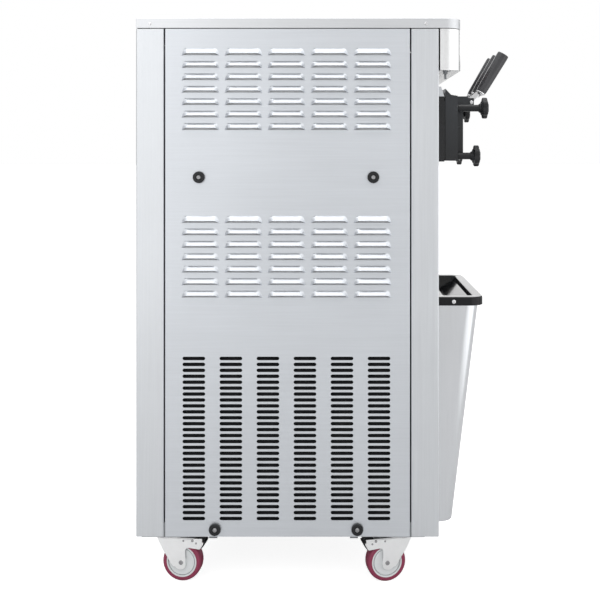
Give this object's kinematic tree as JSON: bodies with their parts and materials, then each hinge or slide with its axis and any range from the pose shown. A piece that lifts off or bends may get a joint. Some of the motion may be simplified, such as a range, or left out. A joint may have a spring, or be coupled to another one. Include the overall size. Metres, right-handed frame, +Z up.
{
  "type": "soft serve ice cream maker",
  "caption": "Floor-standing soft-serve ice cream maker: tall stainless cabinet on braked casters, front draw valves with black levers, star knobs and a drip tray on a tapered apron.",
  "frame": {"origin": "on the floor, at the middle of the machine's bounding box seen from above", "axes": "+Z up, -Y towards the front with the draw handles, +X to the right of someone facing the front"},
  "size_m": [0.558, 0.8792, 1.2951],
  "materials": {
    "stainless": "fine brushed",
    "frame_steel": "grey zinc plate",
    "zinc": "bright zinc",
    "black_plastic": "satin black",
    "enamel": "black enamel",
    "piston_white": "food-grade white",
    "belt_rubber": "matt black",
    "caster_tyre": "maroon polyurethane",
    "caster_hub": "light grey nylon",
    "finned_core": "fins on copper tube"
  },
  "bodies": {
    "cabinet": {"base_frame": "frame_steel", "side_panel_left": "stainless", "side_panel_right": "stainless", "front_panel": "stainless", "rear_panel": "stainless", "cable_gland": "black_plastic", "mid_deck": "frame_steel", "top_cover": "stainless", "console_housing": "stainless", "control_panel": "enamel", "cylinder_bezel": "stainless", "valve_block": "black_plastic", "handle_pivot_pin": "zinc", "freezing_cylinder_left": "stainless", "hopper_left": "stainless", "freezing_cylinder_right": "stainless", "hopper_right": "stainless", "gearbox_left": "frame_steel", "gearbox_right": "frame_steel", "drive_motor": "enamel", "drive_belt": "belt_rubber", "compressor": "enamel", "condenser": "finned_core", "fan_motor": "enamel", "front_apron": "stainless", "drip_tray": "black_plastic"},
    "handle_left": {"draw_handle_left": "black_plastic"},
    "piston_left": {"draw_piston_left": "piston_white"},
    "handle_center": {"draw_handle_center": "black_plastic"},
    "piston_center": {"draw_piston_center": "piston_white"},
    "handle_right": {"draw_handle_right": "black_plastic"},
    "piston_right": {"draw_piston_right": "piston_white"},
    "knob_upper_left": {"star_knob_upper_left": "black_plastic"},
    "knob_lower_left": {"star_knob_lower_left": "black_plastic"},
    "lid_left": {"hopper_lid_left": "stainless"},
    "knob_upper_right": {"star_knob_upper_right": "black_plastic"},
    "knob_lower_right": {"star_knob_lower_right": "black_plastic"},
    "lid_right": {"hopper_lid_right": "stainless"},
    "motor_pulley": {"motor_pulley": "frame_steel"},
    "gear_pulley_left": {"gearbox_pulley_left": "frame_steel"},
    "beater_left": {"beater_left": "stainless"},
    "gear_pulley_right": {"gearbox_pulley_right": "frame_steel"},
    "beater_right": {"beater_right": "stainless"},
    "fan": {"condenser_fan": "black_plastic"},
    "caster_rear_left": {"caster_fork_rear_left": "zinc"},
    "wheel_rear_left": {"caster_hub_rear_left": "caster_hub", "caster_tyre_rear_left": "caster_tyre"},
    "brake_rear_left": {"brake_pedal_rear_left": "black_plastic"},
    "caster_rear_right": {"caster_fork_rear_right": "zinc"},
    "wheel_rear_right": {"caster_hub_rear_right": "caster_hub", "caster_tyre_rear_right": "caster_tyre"},
    "brake_rear_right": {"brake_pedal_rear_right": "black_plastic"},
    "caster_front_left": {"caster_fork_front_left": "zinc"},
    "wheel_front_left": {"caster_hub_front_left": "caster_hub", "caster_tyre_front_left": "caster_tyre"},
    "brake_front_left": {"brake_pedal_front_left": "black_plastic"},
    "caster_front_right": {"caster_fork_front_right": "zinc"},
    "wheel_front_right": {"caster_hub_front_right": "caster_hub", "caster_tyre_front_right": "caster_tyre"},
    "brake_front_right": {"brake_pedal_front_right": "black_plastic"}
  },
  "joints": [
    {"name": "handle_left_pull", "type": "hinge", "parent": "cabinet", "child": "handle_left", "pos_m": [-0.085, -0.34636, 1.0985], "axis": [1, 0, 0], "range_deg": [0, 40]},
    {"name": "piston_left_lift", "type": "slide", "parent": "cabinet", "child": "piston_left", "axis": [0, 0, 1], "range_m": [0, 0.0295]},
    {"name": "handle_center_pull", "type": "hinge", "parent": "cabinet", "child": "handle_center", "pos_m": [0, -0.34636, 1.0985], "axis": [1, 0, 0], "range_deg": [0, 40]},
    {"name": "piston_center_lift", "type": "slide", "parent": "cabinet", "child": "piston_center", "axis": [0, 0, 1], "range_m": [0, 0.0295]},
    {"name": "handle_right_pull", "type": "hinge", "parent": "cabinet", "child": "handle_right", "pos_m": [0.085, -0.34636, 1.0985], "axis": [1, 0, 0], "range_deg": [0, 40]},
    {"name": "piston_right_lift", "type": "slide", "parent": "cabinet", "child": "piston_right", "axis": [0, 0, 1], "range_m": [0, 0.0295]},
    {"name": "knob_upper_left_turn", "type": "hinge", "parent": "cabinet", "child": "knob_upper_left", "pos_m": [-0.1616, -0.36096, 1.0825], "axis": [0, 1, 0], "continuous": true},
    {"name": "knob_lower_left_turn", "type": "hinge", "parent": "cabinet", "child": "knob_lower_left", "pos_m": [-0.1616, -0.34116, 0.97], "axis": [0, 1, 0], "continuous": true},
    {"name": "lid_left_lift", "type": "slide", "parent": "cabinet", "child": "lid_left", "axis": [0, 0, 1], "range_m": [0, 0.2]},
    {"name": "knob_upper_right_turn", "type": "hinge", "parent": "cabinet", "child": "knob_upper_right", "pos_m": [0.1616, -0.36096, 1.0825], "axis": [0, 1, 0], "continuous": true},
    {"name": "knob_lower_right_turn", "type": "hinge", "parent": "cabinet", "child": "knob_lower_right", "pos_m": [0.1616, -0.34116, 0.97], "axis": [0, 1, 0], "continuous": true},
    {"name": "lid_right_lift", "type": "slide", "parent": "cabinet", "child": "lid_right", "axis": [0, 0, 1], "range_m": [0, 0.2]},
    {"name": "motor_spin", "type": "hinge", "parent": "cabinet", "child": "motor_pulley", "pos_m": [0, 0.15764, 0.76], "axis": [0, 1, 0], "continuous": true},
    {"name": "gear_pulley_left_spin", "type": "hinge", "parent": "cabinet", "child": "gear_pulley_left", "pos_m": [-0.086, 0.15764, 1.034], "axis": [0, 1, 0], "continuous": true},
    {"name": "beater_left_spin", "type": "hinge", "parent": "cabinet", "child": "beater_left", "pos_m": [-0.086, -0.09236, 1.034], "axis": [0, 1, 0], "continuous": true},
    {"name": "gear_pulley_right_spin", "type": "hinge", "parent": "cabinet", "child": "gear_pulley_right", "pos_m": [0.086, 0.15764, 1.034], "axis": [0, 1, 0], "continuous": true},
    {"name": "beater_right_spin", "type": "hinge", "parent": "cabinet", "child": "beater_right", "pos_m": [0.086, -0.09236, 1.034], "axis": [0, 1, 0], "continuous": true},
    {"name": "fan_spin", "type": "hinge", "parent": "cabinet", "child": "fan", "pos_m": [-0.168, 0.08764, 0.33], "axis": [1, 0, 0], "continuous": true},
    {"name": "caster_rear_left_swivel", "type": "hinge", "parent": "cabinet", "child": "caster_rear_left", "pos_m": [-0.213, 0.36464, 0.105], "axis": [0, 0, 1], "continuous": true},
    {"name": "wheel_rear_left_roll", "type": "hinge", "parent": "caster_rear_left", "child": "wheel_rear_left", "pos_m": [-0.21801, 0.32899, 0.045], "axis": [-0.9903, 0.1392, 0], "continuous": true},
    {"name": "brake_rear_left_release", "type": "hinge", "parent": "caster_rear_left", "child": "brake_rear_left", "pos_m": [-0.22177, 0.30226, 0.096], "axis": [-0.9903, 0.1392, 0], "range_deg": [0, 8]},
    {"name": "caster_rear_right_swivel", "type": "hinge", "parent": "cabinet", "child": "caster_rear_right", "pos_m": [0.213, 0.36464, 0.105], "axis": [0, 0, 1], "continuous": true},
    {"name": "wheel_rear_right_roll", "type": "hinge", "parent": "caster_rear_right", "child": "wheel_rear_right", "pos_m": [0.21801, 0.32899, 0.045], "axis": [-0.9903, -0.1392, 0], "continuous": true},
    {"name": "brake_rear_right_release", "type": "hinge", "parent": "caster_rear_right", "child": "brake_rear_right", "pos_m": [0.22177, 0.30226, 0.096], "axis": [-0.9903, -0.1392, 0], "range_deg": [0, 8]},
    {"name": "caster_front_left_swivel", "type": "hinge", "parent": "cabinet", "child": "caster_front_left", "pos_m": [-0.213, -0.16936, 0.105], "axis": [0, 0, 1], "continuous": true},
    {"name": "wheel_front_left_roll", "type": "hinge", "parent": "caster_front_left", "child": "wheel_front_left", "pos_m": [-0.22048, -0.13414, 0.045], "axis": [0.9781, 0.2079, 0], "continuous": true},
    {"name": "brake_front_left_release", "type": "hinge", "parent": "caster_front_left", "child": "brake_front_left", "pos_m": [-0.2261, -0.10773, 0.096], "axis": [0.9781, 0.2079, 0], "range_deg": [0, 8]},
    {"name": "caster_front_right_swivel", "type": "hinge", "parent": "cabinet", "child": "caster_front_right", "pos_m": [0.213, -0.16936, 0.105], "axis": [0, 0, 1], "continuous": true},
    {"name": "wheel_front_right_roll", "type": "hinge", "parent": "caster_front_right", "child": "wheel_front_right", "pos_m": [0.22048, -0.13414, 0.045], "axis": [0.9781, -0.2079, 0], "continuous": true},
    {"name": "brake_front_right_release", "type": "hinge", "parent": "caster_front_right", "child": "brake_front_right", "pos_m": [0.2261, -0.10773, 0.096], "axis": [0.9781, -0.2079, 0], "range_deg": [0, 8]}
  ],
  "couplings": [
    {"joint": "piston_left_lift", "follows": "handle_left_pull", "m_per_rad": 0.041},
    {"joint": "piston_center_lift", "follows": "handle_center_pull", "m_per_rad": 0.041},
    {"joint": "piston_right_lift", "follows": "handle_right_pull", "m_per_rad": 0.041},
    {"joint": "gear_pulley_left_spin", "follows": "motor_spin", "ratio": 0.5333},
    {"joint": "beater_left_spin", "follows": "motor_spin", "ratio": 0.1067},
    {"joint": "gear_pulley_right_spin", "follows": "motor_spin", "ratio": 0.5333},
    {"joint": "beater_right_spin", "follows": "motor_spin", "ratio": 0.1067}
  ]
}
